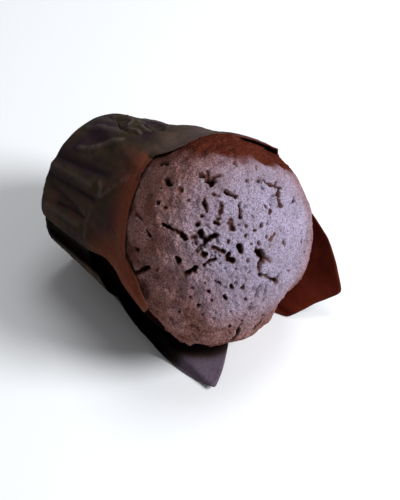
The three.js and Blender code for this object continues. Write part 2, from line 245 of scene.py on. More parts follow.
def side_radius(height, angle):
    h = np.clip(height, 0, RIM_HEIGHT)
    cup = lerp(BASE_RADIUS, WALL_RADIUS, h / RIM_HEIGHT)
    return cup + (CRUST_OVERHANG + rim_lobes(angle)) * smoothstep(h, CRUST_START, RIM_HEIGHT)


print("rim radius all round", np.round(side_radius(RIM_HEIGHT, np.radians([0, 90, 180, 270])), 1))

# %% [markdown]
# ## The paper's flaps
# The case is one square sheet, pressed into the cup off its centre. Its four corners stand up as
# flaps of unequal height. Each flap is described by lines from the base to its free edge: the
# angle and height of the line's end, how far the end stands out, the line's angle at the base, and
# how late it swings round to reach an overhanging end.

# %% The paper's flaps
FLAPS = {
    "upper": [
        (7, 58, 0, 12), (20, 61, 0, 24), (30, 63.5, 0.3, 28), (40, 67, 0, 33), (48, 69.5, -1.2, 38),
        (60, 61, 0, 43), (70, 54, 0, 48), (82, 48.5, 0, 53), (97.6, 42, 0, 65),
    ],
    "left": [
        (100.6, 42, 0, 79), (118, 45, 0, 94), (137, 49, 0, 108), (150, 52, 0, 118),
        (158, 55, 0, 125, 1.2), (163, 61, -0.2, 131, 1.6), (169, 66.5, -0.6, 137, 2),
        (176, 68.5, -0.74, 142, 2.5), (180.5, 66, -0.74, 146, 4), (175, 61.5, -0.3, 150, 4),
        (171, 56, 0, 154, 4), (168.6, 49, 0, 157, 4), (168, 42, 0, 161, 3), (172.5, 29.5, 0, 169.5),
    ],
    "table": [
        (188, 37.5, 0.8, 186), (202, 43, 1.5, 199), (214, 48, 3.5, 205), (226, 52.5, 5.9, 211),
        (232, 58.5, 8, 217), (235, 67.5, 9.6, 223), (236, 80.3, 6.4, 229), (244, 77, 2.5, 238),
        (252, 73, 1, 246), (260, 69, 0, 255), (268, 62, 0, 262), (281, 56, 0, 275),
    ],
    "right": [
        (285, 58, 0, 291), (295.5, 79, 1.4, 302), (305, 83.5, 2.6, 309), (315, 90, 4, 316),
        (326, 85, 2.4, 326), (338, 79.5, 1, 336), (349, 71, 0.6, 346), (363, 58, 0, 358),
    ],
}
PLEATS = {"upper": (7, 0), "left": (5, 1.5), "table": (7, 0), "right": (7, 0)}
EDGE_ANGLES, EDGE_HEIGHTS = np.array([line[:2] for lines in FLAPS.values() for line in lines]).T


def paper_edge(degrees):
    """Height of the paper's free edge at angles round the axis, in degrees."""
    order = np.argsort(EDGE_ANGLES, kind="stable")
    return np.interp(degrees, EDGE_ANGLES[order], EDGE_HEIGHTS[order], left=58, right=58)


print("free edge from", EDGE_HEIGHTS.min(), "to", EDGE_HEIGHTS.max(), "mm over the base")

# %% [markdown]
# ## The muffin's body
# A ball of evenly spread faces is a good start for a baked shape, since it has no poles to pinch.
# A cube is subdivided and pushed out to a sphere. Each point then goes to its place on the muffin:
# the top part of the ball becomes the dome, the middle the side, the bottom the base. The dome
# gets most of the faces, because the crust has the fine detail.

# %% The muffin's body
DOME_HEIGHT = 31.0
DOME_SHOULDER = 0.8
DOME_SHARE = 0.87
WALL_SHARE = 0.975
MUFFIN_BOTTOM = 1.3
SEAM_BOTTOM = 3.0
SEAM_X = (-5, 1, 15, 21)
GROOVE = {"angle": 181, "half_width": 17, "from": 4, "to": 36, "depth": 1.8}
SPILL = {"from": 52, "full": 74, "low": 118, "to": 165, "bulge": 1.8, "gap": 0.8, "rise": 5.2}


def crust_spill(height, degrees):
    around = smoothstep(degrees, SPILL["from"], SPILL["full"])
    around = around * (1 - smoothstep(degrees, SPILL["low"], SPILL["to"]))
    over = height - paper_edge(degrees) - SPILL["gap"]
    return SPILL["bulge"] * around * ease(np.clip(over / SPILL["rise"], 0, 1))


def groove_depth(height, degrees):
    half = GROOVE["half_width"]
    across = 1 - smoothstep(np.abs(degrees - GROOVE["angle"]), 0.4 * half, half)
    along = smoothstep(height, 0, GROOVE["from"]) * (1 - smoothstep(height, GROOVE["to"], GROOVE["to"] + 6))
    return GROOVE["depth"] * across * along


def muffin_body(directions):
    """Points of the smooth muffin for directions from its middle, standing up, in millimetres."""
    share = (1 - np.clip(directions[:, 2], -1, 1)) / 2
    angle = np.arctan2(directions[:, 1], directions[:, 0])
    degrees = (np.degrees(angle) + 360) % 360
    swing = np.sqrt(np.clip(share / DOME_SHARE, 0, 1)) * np.pi / 2
    dome_height = RIM_HEIGHT + DOME_HEIGHT * np.cos(swing)
    dome_radius = CRUST_RADIUS * np.sin(swing) ** DOME_SHOULDER
    dome_radius += (rim_lobes(angle) + crust_spill(RIM_HEIGHT, degrees)) * smoothstep(swing, 0.7, 1.4)

    down = np.clip((share - DOME_SHARE) / (WALL_SHARE - DOME_SHARE), 0, 1)
    wall_height = RIM_HEIGHT * (1 - down)
    up = np.clip(wall_height / BASE_ROUNDING, 0, 1)
    wall_radius = side_radius(wall_height, angle) - BASE_ROUNDING * (1 - np.sqrt(up * (2 - up)))
    wall_radius += crust_spill(wall_height, degrees) - groove_depth(wall_height, degrees)

    base_radius = (BASE_RADIUS - BASE_ROUNDING) * np.sqrt(np.clip((1 - share) / (1 - WALL_SHARE), 0, 1))
    parts = [share < DOME_SHARE, share < WALL_SHARE]
    radius = np.select(parts, [dome_radius, wall_radius], base_radius)
    height = np.select(parts, [dome_height, wall_height], 0.0)
    return np.stack([radius * np.cos(angle), radius * np.sin(angle), height], axis=1)


bpy.ops.object.select_all(action="DESELECT")
bpy.ops.mesh.primitive_cube_add(size=2)
muffin = bpy.context.active_object
muffin.name = "muffin_crumb"
bpy.ops.object.mode_set(mode="EDIT")
bpy.ops.mesh.select_all(action="SELECT")
bpy.ops.mesh.subdivide(number_cuts=24)
bpy.ops.mesh.subdivide(number_cuts=4)
bpy.ops.transform.tosphere(value=1)
bpy.ops.object.mode_set(mode="OBJECT")
ball = mesh_points(muffin)
ball /= np.linalg.norm(ball, axis=1, keepdims=True)
body = muffin_body(ball)
print("muffin points", len(body), "height", round(body[:, 2].max(), 1), "mm")

# %% [markdown]
# ## Craters, splits and pores of the crust
# Steam leaves a baked crust in craters and splits, and small bubbles leave pores. Each crater is
# named by its width, its depth and the places on the dome that it runs through. Warping the
# distance to that run with noise makes a ragged edge, and the rim of a burst bubble stands up a
# little. Pores too small to list are strewn over the crust with a fixed seed.

# %% Craters, splits and pores
CRATERS = [
    (1.1, 1.6, (-7.7, 34.5, 48.3), (-8.5, 36.3, 52)),
    (1, 1.8, (-14.4, 36.5, 57.6), (-15.2, 36.4, 59.5), (-15.3, 36.3, 60.8)),
    (1.6, 2.2, (-7.9, 36.6, 70), (-6.9, 36.4, 70.9)), (0.8, 1.2, (-7.4, 36.7, 70), (-7.9, 37.9, 67.4)),
    (0.8, 1.2, (-7.4, 36.7, 70), (-5.7, 38.1, 68.3)), (0.7, 1.2, (-7, 36.6, 70.5), (-3.6, 36.8, 71.3)),
    (0.9, 1.3, (-7.2, 36.4, 70.6), (-7.7, 35.6, 71.7)), (0.7, 1, (-7.9, 36.6, 70), (-9, 36.8, 69)),
    (0.8, 1.5, (-5.4, 33.4, 75.3), (-4.3, 32.3, 76.6), (-3.5, 31.5, 77.6)),
    (1, 1.6, (-3.8, 31.9, 77.1), (-3.4, 31.2, 77.9)),
    (0.9, 1.5, (-11.9, 33.7, 72.3), (-13.2, 32.8, 72.8), (-13.9, 31.2, 74.5)),
    (0.6, 0.9, (-8.1, 33.2, 74.6), (-8.1, 32.9, 75)),
    (0.9, 1.2, (-8.9, 31.3, 76.5), (-10.4, 29.8, 77.5), (-12.3, 28.3, 78.2)),
    (1.1, 1.8, (-18.4, 28.8, 74.4), (-18.2, 28.7, 74.6)),
    (0.6, 0.9, (-16.1, 30.4, 74.2), (-16.2, 30.2, 74.3)),
    (1.3, 1.3, (-10.2, 26.4, 80.7), (-10.6, 24.9, 81.7)),
    (0.7, 1.4, (-25.7, 28.6, 65.3), (-24.8, 28.1, 68.4), (-23.5, 27.4, 71.4)),
    (1.1, 1.9, (-24.1, 27.6, 70.3), (-23.4, 26.8, 72.2), (-23.3, 25.2, 74)),
    (1.5, 3, (-19.3, 26.4, 76.2), (-19.3, 25, 77.4), (-19.8, 23.3, 78.4)),
    (1.2, 2.4, (-19.8, 23.6, 78.2), (-17.8, 24.3, 78.9), (-15.9, 24.6, 79.8)),
    (1.6, 2.4, (-21.1, 25.4, 75.7), (-21.4, 23.7, 77), (-20.3, 23.2, 78.2)),
    (1, 1.7, (-29.2, 24.8, 62.1), (-29.3, 24.5, 62.6)),
    (0.7, 0.9, (-28.4, 26.2, 60.6), (-29.1, 25, 62)),
    (0.8, 1.2, (-22.5, 25.2, 49.1), (-25.7, 27, 53.7), (-27, 27.1, 56.4)),
    (1, 1.7, (-32.2, 19, 58.2), (-32.3, 19.2, 59.4)), (0.9, 1.1, (-22, 32.7, 60.5), (-22, 32.6, 61)),
    (0.8, 1, (-21.9, 32.3, 64), (-21.9, 32.2, 64.4)), (1, 1.7, (-28.1, 19.9, 72.8), (-27.9, 19, 73.8)),
    (1, 0.8, (-15.3, 35.9, 64.3), (-15.4, 35.6, 65.4)),
    (0.6, 0.8, (-17.8, 35.1, 58.3), (-17.9, 35.1, 58.7)),
    (0.8, 0.9, (7.3, 38.9, 66.8), (7, 38.9, 67.2)), (0.8, 1.2, (3.9, 37.2, 71.1), (4, 36.7, 71.9)),
    (0.6, 1, (10.6, 33.2, 74.2), (9.5, 32.7, 75.3)), (0.7, 1, (3.5, 32.6, 76.6), (3.3, 32.5, 76.8)),
    (0.7, 1, (5.3, 32.2, 76.7), (5.3, 32.2, 76.7)),
    (0.7, 1.3, (10.1, 29.4, 78.2), (10.7, 27.9, 79.2), (12.4, 26, 80.2), (14.4, 24, 80.9)),
    (0.6, 1, (14.7, 26, 79.1), (12.4, 26, 80.2)),
    (0.8, 1.3, (13.1, 24.9, 80.8), (11.4, 23.5, 82.5), (9, 21.8, 84.4)),
    (1, 1.6, (10.6, 23, 83.2), (9, 21.8, 84.4)),
    (0.6, 1.1, (16.5, 18.8, 83.4), (17.8, 18.1, 83.1), (18.4, 18.4, 82.6)),
    (0.8, 1.1, (4, 25.1, 83.1), (3.7, 24.8, 83.3)), (1, 1.4, (4.3, 23.3, 84.3), (3.9, 22.8, 84.7)),
    (0.7, 1, (-3.8, 29.6, 79.3), (-4.9, 28, 80.6), (-5.9, 26.4, 81.7)),
    (0.8, 1.2, (-5.6, 26.8, 81.4), (-5.9, 26.4, 81.7)),
    (0.6, 0.8, (-6.6, 24.1, 83.4), (-6.4, 23.9, 83.6)),
    (0.8, 1.1, (-1.4, 21.4, 85.7), (-0.8, 21.5, 85.7)),
    (0.8, 1, (-4.3, 21.1, 85.6), (-3.9, 20.9, 85.8)), (0.8, 1, (-8.1, 21.5, 84.8), (-8.2, 21.3, 84.9)),
    (0.8, 1, (-13.9, 22.3, 82.4), (-13.8, 22, 82.7)), (0.7, 0.8, (-0.3, 15.7, 88.1), (2.5, 16.4, 87.8)),
    (0.7, 0.9, (-0.8, 17.7, 87.4), (-0.9, 17.5, 87.5)), (0.8, 1.2, (4.8, 12.1, 88.8), (5, 11, 89)),
    (0.8, 1.1, (-4.6, 17.4, 87.3), (-4.5, 16.7, 87.5)),
    (0.6, 0.9, (-6.4, 16.3, 87.5), (-6.6, 16, 87.6)),
    (1.1, 2, (-11.4, 19.7, 84.9), (-11.9, 17.7, 85.7)),
    (1.7, 2.8, (-5.7, 14, 88.3), (-5.5, 12.3, 88.7)), (1, 1.8, (-6.4, 15.5, 87.7), (-5.6, 13.1, 88.5)),
    (0.9, 1.6, (-5.4, 12.5, 88.7), (-2.7, 9, 89.5)), (1, 1.8, (-6.2, 12.6, 88.6), (-7.7, 10.8, 88.8)),
    (0.8, 1.4, (-7.7, 10.8, 88.8), (-7.7, 9, 89.1), (-7.5, 6.3, 89.4)),
    (1.1, 1.7, (-7.7, 6.9, 89.3), (-7.4, 5.9, 89.5)),
    (0.7, 1.2, (-6.3, 5.4, 89.6), (-3.2, 1.4, 90), (-0.5, -1.8, 90)),
    (0.9, 1.4, (-2.1, 0.4, 90), (-0.5, -1.8, 90)), (0.6, 0.8, (1, 0.8, 90), (0.9, 0.3, 90)),
    (0.6, 0.7, (14.6, 5, 88.2), (14.3, 3.7, 88.4)), (0.5, 0.8, (19.3, 5, 86.5), (19, 4.5, 86.6)),
    (0.5, 0.8, (15.7, -1.1, 88.1), (16.5, -2, 87.8)), (1, 1.4, (-15.1, 5.8, 87.9), (-14.8, 5.3, 88.1)),
    (1, 1.4, (-18.6, 8.1, 86.3), (-18.5, 7.6, 86.4)), (0.9, 1.3, (-20.9, 5, 85.7), (-20.8, 3.7, 85.8)),
    (0.8, 1, (-14.8, 0.4, 88.4), (-14.5, -0.3, 88.4)),
    (1.3, 1.8, (-15.7, 16.9, 84.7), (-15.5, 16.1, 85.2)),
    (0.7, 1, (-10.7, 14.5, 87.3), (-10.6, 14.1, 87.4)),
    (1.3, 1.4, (-34.9, 11.5, 60), (-34.3, 13.2, 62), (-33.5, 14.7, 64)),
    (0.7, 1.3, (-19.4, 18.2, 82.1), (-21.1, 18, 81.1), (-23.1, 17.2, 80.1)),
    (1.2, 2, (-28.1, 14.9, 76.4), (-27, 15.5, 77.3), (-25.6, 16.3, 78.3)),
    (1.2, 1.3, (-22, 21.1, 78.5), (-21.7, 20.3, 79.3)),
    (1, 1.4, (-16.9, 20.3, 82.3), (-16.5, 19.8, 82.8)),
    (0.9, 1.2, (-16.2, 18.1, 83.9), (-15.5, 18.8, 83.9)),
    (0.9, 1, (-18.4, 21.7, 80.5), (-17.5, 20.7, 81.6)),
    (0.8, 1.2, (-25.2, 8.1, 82.2), (-24.8, 8, 82.6)), (0.7, 1, (-21.5, 10.3, 84.2), (-21.2, 9.9, 84.5)),
    (0.7, 1, (-32.4, 0.4, 75), (-32.4, -0.1, 74.9)),
    (0.8, 1.3, (-16.5, -14.9, 85.2), (-17.2, -17.1, 84)),
    (0.7, 0.9, (-16.5, -9.7, 86.8), (-16.5, -13.1, 85.9), (-16.5, -16.2, 84.7)),
    (0.6, 0.8, (-20.4, -10.1, 84.9), (-20.3, -10.7, 84.8)),
    (0.6, 0.8, (-15.2, 13, 86.4), (-15.1, 12.6, 86.6)),
    (0.5, 0.7, (-11.5, 9.9, 88.3), (-11.5, 9.9, 88.3)),
    (0.9, 1.4, (-21.8, 22.6, 77.5), (-23.1, 21.6, 77.2)),
    (0.8, 0.9, (-13.7, 27.8, 78.1), (-13.3, 27.4, 78.6)),
    (0.6, 0.8, (-8.3, 25, 82.4), (-8, 24.8, 82.5)), (0.6, 0.8, (-7.1, 18.4, 86.5), (-7.1, 18.4, 86.5)),
    (0.9, 1, (-9, 33.9, 73.4), (-8.9, 33.7, 73.8)), (0.6, 0.7, (-5.9, 10.7, 89), (-5.6, 10.3, 89.1)),
    (0.6, 0.8, (-32.5, 15.2, 67.7), (-32.3, 15.5, 68)),
    (0.5, 0.7, (-24.8, 11.7, 81.4), (-24.8, 11.7, 81.4)),
    (0.5, 0.6, (-24.7, 4.3, 83.4), (-24.7, 4.3, 83.4)),
    (0.5, 0.6, (-16.1, 34, 68.8), (-15.8, 34, 69.1)), (0.6, 0.9, (5.4, -0.9, 89.9), (5.8, -1.3, 89.8)),
    (0.5, 0.7, (-1.5, 14.1, 88.5), (-1.6, 13.8, 88.6)),
    (0.9, 2.2, (-16.6, -16, 84.6), (-17, -18.6, 83.2), (-16.9, -21.6, 81.4), (-17, -24, 79)),
    (0.8, 1.8, (-7.2, -15.8, 87.5), (-9.4, -18.6, 86), (-10.4, -21.5, 84), (-11, -24, 81.5)),
]
PORE_COUNT = 420


def dome_point(x, y):
    sine = min(1, np.hypot(x, y) / CRUST_RADIUS) ** (1 / DOME_SHOULDER)
    return np.array([x, y, RIM_HEIGHT + DOME_HEIGHT * np.sqrt(1 - sine * sine)])


def distance_to_run(points, run):
    nearest = np.full(len(points), 1e9)
    for a, b in zip(run[:-1], run[1:]):
        along = b - a
        t = np.clip((points - a) @ along / max(along @ along, 1e-9), 0, 1)
        nearest = np.minimum(nearest, np.linalg.norm(points - a - t[:, None] * along, axis=1))
    return nearest


def crater_field(points):
    """For each point: how deep the crust has sunk, a crater's dark halo, and its broken rim, which stands up
    and carries a painted glint.
    """
    wobble = 0.5 * noise_vector(points, 2.4) + 0.32 * noise_vector(points, 1.1, 31)
    ragged_edge = 0.4 * noise(points, 1.3, 51) + 0.3 * noise(points, 0.75, 53)
    floor_lumps = 0.85 + 0.35 * noise(points, 1.2, 57)
    depth = np.zeros(len(points))
    halo = np.zeros(len(points))
    rim_and_glint = np.zeros(len(points))
    for width, deep, *spots in CRATERS:
        run = [np.array(spot) for spot in spots]
        reach = 2 * width + 2 + sum(np.linalg.norm(b - a) for a, b in zip(run[:-1], run[1:]))
        near = np.linalg.norm(points - run[0], axis=1) < reach
        moved = points[near] + (0.5 + 0.4 * width) * wobble[near]
        share = distance_to_run(moved, run) / (0.82 * width) + ragged_edge[near] / (0.5 + 0.7 * width)
        sunk = 1.3 * deep * floor_lumps[near] * (1 - smoothstep(share, 0.4, 1.0))
        depth[near] = np.maximum(depth[near], sunk)
        halo[near] = np.maximum(halo[near], 1 - smoothstep(share, 0.8, 1.3))
        rim_and_glint[near] = np.maximum(rim_and_glint[near], np.exp(-(((share - 1.3) / 0.25) ** 2)))
    return depth, halo, rim_and_glint


def pore_field(points):
    """Small pores strewn over the crust."""
    rng = np.random.default_rng(SEED)
    turn = rng.uniform(0, 2 * np.pi, PORE_COUNT)
    away = CRUST_RADIUS * np.sqrt(rng.uniform(0, 1, PORE_COUNT))
    sizes = rng.uniform(0.35, 0.8, PORE_COUNT)
    depth = np.zeros(len(points))
    for t, r, size in zip(turn, away, sizes):
        spot = dome_point(r * np.cos(t), r * np.sin(t))
        near = np.flatnonzero(np.abs(points[:, 0] - spot[0]) + np.abs(points[:, 1] - spot[1]) < 3 * size)
        distance = np.linalg.norm(points[near] - spot, axis=1) / size
        depth[near] = np.maximum(depth[near], 0.9 * size * (1 - smoothstep(distance, 0.3, 1.2)))
    return depth


# %% [markdown]
# ## Relief of the crust
# Between its craters the crust is lumpy at every size, wavier towards its rim, and broken by fine
# cracks. A loose chunk sits in the widest crater, and below the paper's edge the crust steps in under
# a ledge. All of it is added up as one relief in millimetres, which moves each point towards the
# middle of the ball.

# %% Relief of the crust
DENTS = [
    ((8, -19, 86.5), 7.5, 2.8), ((11, -24, 79), 6, 2.2), ((19, 31.5, 69), 7, 0.9),
    ((-16.2, -13.5, 85.8), 1.6, 0.8), ((-30, 7, 77), 4, 0.6), ((-26, 12, 79), 3.5, -0.5),
    ((-13.7, 15.3, 86.1), 1.2, -0.7), ((-28.4, 12.4, 77.6), 1.3, -0.6),
    ((-29.6, 9.5, 77.6), 1.2, -0.6), ((-29.8, 6.8, 78), 1.2, -0.5),
]
CHUNK = (-20.7, 24.4, 76.9)
CHUNK_SIZE = 1.7
CHUNK_RISE = 2.4
CRACK_WIDTH = 0.1
CRACK_DEPTH = 0.8


def soft_spot(points, middle, size):
    """A share that is 1 at the middle and fades out over about the size."""
    return np.exp(-((np.linalg.norm(points - np.array(middle), axis=1) / size) ** 2))


on_crust = smoothstep(body[:, 2], 40, 52)
crater_depth, crater_halo, crater_rim = crater_field(body)
broken = noise(body, 2.3, 17)
lumps = 0.4 * noise(body, 9) + 0.36 * noise(body, 4) + 0.26 * noise(body, 2.1, 5)
lumps += 0.18 * noise(body, 1.1, 9) + 0.12 * noise(body, 0.65, 13)
rim_ward = smoothstep(np.hypot(body[:, 0], body[:, 1]), 24, 33)
lumps += rim_ward * (0.55 * noise(body, 3.4, 61) + 0.3 * noise(body, 1.7, 63))
relief = lumps + 0.2 * crater_rim * smoothstep(broken, -0.4, 0.3) - crater_depth - pore_field(body)
crack_run = noise(body + 0.9 * noise_vector(body, 2.2, 81), 4.6, 83)
cracked = np.exp(-((crack_run / CRACK_WIDTH) ** 2)) * smoothstep(noise(body, 9, 85), -0.25, 0.35)
relief -= CRACK_DEPTH * cracked * smoothstep(body[:, 2], 66, 74)
chunk = soft_spot(body, CHUNK, CHUNK_SIZE)
relief += CHUNK_RISE * chunk * (crater_depth > 0)
# How deep the crust lies in a hollow, which darkens it there with painted shade.
hollow_shade = np.clip(-relief, 0, 3) / 3 * (1 - chunk)
for middle, size, sunk in DENTS:
    relief -= sunk * soft_spot(body, middle, size)
print("craters", len(CRATERS), "pores", PORE_COUNT, "deepest", round(crater_depth.max(), 1), "mm")

# %% [markdown]
# ## The muffin on the table
# The relief is laid on the smooth body, the side below the crust gets its own gentle waves, and the
# ledge is cut in. The muffin is then laid down and pressed flat where it meets the paper below it,
# a little higher where that paper is folded.

# %% The muffin on the table
LEDGE = [
    (0, 0), (176, 0), (181, 63), (188, 67.5), (200, 68), (214, 69.6), (222, 74), (230, 76),
    (250, 60), (262, 0), (360, 0),
]
LEDGE_DEPTH = 2.2
around = (np.degrees(np.arctan2(body[:, 1], body[:, 0])) + 360) % 360
inward = np.array([0, 0, RIM_HEIGHT - 6]) - body
inward /= np.linalg.norm(inward, axis=1, keepdims=True)
side_relief = (0.25 * noise(body, 3) - 0.5 * smoothstep(body[:, 2], 2, 8)) * (1 - on_crust)
ledge_height = np.interp(around, *np.array(LEDGE).T) + 0.9 * noise(body, 3, 71)
under_ledge = smoothstep(ledge_height - body[:, 2], 0, 1.6) * smoothstep(body[:, 2], 34, 44)
shaped = body - inward * (on_crust * relief)[:, None]
shaped -= inward * side_relief[:, None]
shaped += inward * (LEDGE_DEPTH * under_ledge)[:, None]
shaped[:, 2] += BASE_LIFT

seam_from, seam_full, seam_end, seam_to = SEAM_X
fold = smoothstep(shaped[:, 0], seam_from, seam_full) * (1 - smoothstep(shaped[:, 0], seam_end, seam_to))
over_paper = 1 - smoothstep(shaped[:, 2], RIM_HEIGHT, RIM_HEIGHT + 5)
bottom = lerp(MUFFIN_BOTTOM, SEAM_BOTTOM, fold * over_paper)
laid = lay(shaped)
laid[:, 2] = np.maximum(laid[:, 2], bottom)
set_mesh_points(muffin, laid / 1000)
select_only(muffin)
bpy.ops.object.shade_smooth()
print("lowest point", round(laid[:, 2].min(), 2), "highest", round(laid[:, 2].max(), 2), "mm")

# %% [markdown]
# ## Where the crust changes colour
# The pale lilac-grey spreads from one place on the dome and fades towards the rim. It is partly the
# crust's own bloom and partly a painted sheen, a reflection of the cool lamp, centred where that
# reflection falls. A band along the upper edge is partly red-brown crust and partly painted shadow
# of the upper flap. Craters have dark halos, floors darkened by painted shade and broken rims with a
# painted pale glint, and the side gets painted shadow under the ledge and in the gap between two
# flaps. Each is kept on the points as a number from 0 to 1, which the material reads by name.

# %% Where the crust changes colour
# The pale lilac-grey is partly the crust's own bloom and partly a painted sheen of the cool lamp, centred
# where its reflection falls.
SHEEN_BLOOM_CENTRE = np.array([0.0, 16.0, 88.0])
SHEEN_BLOOM_NEAR = 14
SHEEN_BLOOM_FAR = 41
# The band along the upper edge is partly the crust's own red-brown and partly painted shadow of the upper
# flap.
BAND_AND_SHADOW_EDGE = [
    (0, 66), (40, 76), (57, 75.7), (66, 73.9), (75, 73), (83, 70.8), (88, 67.5), (92, 65.7),
    (95, 63.4), (99, 61.1), (108, 54.7), (125, 48), (360, 48),
]
mottled = body + 2.2 * noise_vector(body, 6, 41) + 0.8 * noise_vector(body, 2, 43)
from_sheen_bloom = np.linalg.norm(mottled - SHEEN_BLOOM_CENTRE, axis=1)
band_and_shadow_height = np.interp(around, *np.array(BAND_AND_SHADOW_EDGE).T)
band_and_flap_shadow = 1 - smoothstep(around + 5 * noise(body, 3, 91), 88, 108)
band_and_flap_shadow = band_and_flap_shadow * smoothstep(band_and_shadow_height - mottled[:, 2], -1.5, 3)
by_gap = smoothstep(around, 158, 166) * (1 - smoothstep(around, 225, 235))
by_gap = by_gap * (1 - smoothstep(body[:, 2], 55, 61))
set_attribute(muffin, "bloom_and_sheen", 1 - smoothstep(from_sheen_bloom, SHEEN_BLOOM_NEAR, SHEEN_BLOOM_FAR))
set_attribute(muffin, "band_and_flap_shadow", band_and_flap_shadow)
set_attribute(muffin, "halo", crater_halo * (1 - chunk) * on_crust)
# Broken crater rims get a painted pale glint, kept off the band.
set_attribute(muffin, "rim_and_glint", crater_rim * smoothstep(broken, -0.1, 0.4) * on_crust * (1 - band_and_flap_shadow))
set_attribute(muffin, "hollow", hollow_shade)
set_attribute(muffin, "shaded", np.maximum(under_ledge, by_gap))
print("share of the points in the band", round(float((band_and_flap_shadow > 0.5).mean()), 3))

# %% [markdown]
# ## The crust's material
# Chocolate crust isn't one brown. Its pale lilac-grey is partly its own bloom and partly a painted
# sheen of the cool lamp, so it is palest where that lamp's reflection falls, and red-brown at the
# edges and away from it. Painted shadow darkens the band under the upper flap, painted shade the
# hollows, and a painted glint lightens the craters' broken rims. Noise of two sizes mixes the browns,
# the numbers kept on the points say which brown goes where, and two fine bumps give the sandy grain
# that is too small to model.


# %% The crust's material
def attribute_value(tree, name):
    made = tree.nodes.new("ShaderNodeAttribute")
    made.attribute_name = name
    return made.outputs["Fac"]


def noise_value(tree, place, scale, detail, roughness):
    made = tree.nodes.new("ShaderNodeTexNoise")
    for name, value in (("Scale", scale), ("Detail", detail), ("Roughness", roughness)):
        made.inputs[name].default_value = value
    tree.links.new(place, made.inputs["Vector"])
    return made.outputs["Fac"]


def ramp(tree, value, stops):
    made = tree.nodes.new("ShaderNodeValToRGB")
    elements = made.color_ramp.elements
    while len(elements) < len(stops):
        elements.new(0.5)
    for element, (place, color) in zip(elements, stops):
        element.position = place
        element.color = (*color, 1)
    tree.links.new(value, made.inputs["Fac"])
    return made.outputs["Color"]


def share_ramp(tree, value, low, high, most=1.0):
    """A share that rises from 0 to most while the value goes from low to high."""
    return ramp(tree, value, [(low, (0, 0, 0)), (high, (most, most, most))])


def mix_color(tree, share, first, second):
    """Mix two colours. A share that is given as a name is read from the points."""
    made = tree.nodes.new("ShaderNodeMix")
    made.data_type = "RGBA"
    if isinstance(share, str):
        share = attribute_value(tree, share)
    tree.links.new(share, made.inputs[0])
    for value, socket in ((first, made.inputs[6]), (second, made.inputs[7])):
        if isinstance(value, bpy.types.NodeSocket):
            tree.links.new(value, socket)
        else:
            socket.default_value = (*value, 1)
    return made.outputs[2]


def add_bump(tree, height, strength, distance, normal=None):
    made = tree.nodes.new("ShaderNodeBump")
    made.inputs["Strength"].default_value = strength
    made.inputs["Distance"].default_value = distance
    tree.links.new(height, made.inputs["Height"])
    if normal is not None:
        tree.links.new(normal, made.inputs["Normal"])
    return made.outputs["Normal"]


# Lilac: the crust's bloom with a painted sheen of the cool lamp. Brown: the crust away from that sheen.
LILAC_BLOOM_AND_SHEEN = [(0.35, (0.27, 0.22, 0.285)), (0.5, (0.31, 0.268, 0.36)), (0.65, (0.36, 0.32, 0.435))]
BROWN = [(0.35, (0.18, 0.072, 0.054)), (0.65, (0.32, 0.172, 0.158))]
# The band's brown is darkened with painted shadow of the upper flap.
BAND_BROWN_AND_SHADOW = [(0.4, (0.045, 0.009, 0.005)), (0.62, (0.1, 0.024, 0.014))]
LILAC_GRAIN = (0.15, 0.098, 0.118)
BROWN_GRAIN = (0.08, 0.03, 0.023)
HALO_BROWN = (0.09, 0.03, 0.016)
# Painted glint on the craters' broken rims.
PAINTED_RIM_GLINT = (0.38, 0.34, 0.4)
LEDGE_SHADOW = (0.008, 0.003, 0.003)
# Painted shade on crater floors and other deep hollows.
CRATER_FLOOR_SHADE = (0.018, 0.006, 0.004)

crumb, tree = new_material("crumb")
place = tree.nodes.new("ShaderNodeTexCoord").outputs["Object"]
patches = noise_value(tree, place, 110, 5, 0.6)
speckle = noise_value(tree, place, 1900, 2, 0.7)
fleck = share_ramp(tree, speckle, 0.34, 0.56)
grainy = mix_color(tree, fleck, LILAC_GRAIN, ramp(tree, patches, LILAC_BLOOM_AND_SHEEN))
brown = mix_color(tree, fleck, BROWN_GRAIN, ramp(tree, patches, BROWN))
# Painted sheen with real bloom: lilac near the sheen's middle, brown away from it.
sheen_bloomed = mix_color(tree, "bloom_and_sheen", brown, grainy)
# Painted shadow of the upper flap over the band's own red-brown.
band_and_shadow_color = ramp(tree, speckle, BAND_BROWN_AND_SHADOW)
band_and_shadow_mixed = mix_color(tree, "band_and_flap_shadow", sheen_bloomed, band_and_shadow_color)
halo = share_ramp(tree, attribute_value(tree, "halo"), 0.1, 0.9, 0.85)
haloed = mix_color(tree, halo, band_and_shadow_mixed, HALO_BROWN)
# Painted pale glint on the broken rims.
rim_glint_share = share_ramp(tree, attribute_value(tree, "rim_and_glint"), 0.2, 0.9, 0.5)
glinted = mix_color(tree, rim_glint_share, haloed, PAINTED_RIM_GLINT)
under = mix_color(tree, "shaded", glinted, LEDGE_SHADOW)
# Painted shade, darker where the crust lies deeper.
hollow = share_ramp(tree, attribute_value(tree, "hollow"), 0.14, 0.5)
crust_color = mix_color(tree, hollow, under, CRATER_FLOOR_SHADE)
shader = tree.nodes["Principled BSDF"]
tree.links.new(crust_color, shader.inputs["Base Color"])
shader.inputs["Roughness"].default_value = 0.8
shader.inputs["Specular IOR Level"].default_value = 0
grain = noise_value(tree, place, 900, 4, 0.65)
coarse = noise_value(tree, place, 550, 3, 0.6)
bumped = add_bump(tree, coarse, 1, 0.001)
tree.links.new(add_bump(tree, grain, 0.9, 0.0005, bumped), shader.inputs["Normal"])
muffin.data.materials.append(crumb)
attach(muffin, "root")
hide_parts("muffin")
print("crumb material nodes", len(tree.nodes))

# %% [markdown]
# ## The sheet of paper
# The folded case is one surface, so it is drawn as one grid: lines run from the middle of the base
# up to the free edge, flap after flap, with the folded layers of each box pleat between them.
# A subdivision surface then rounds the folds softly, as paper does, and a Solidify modifier gives
# the sheet its thickness.

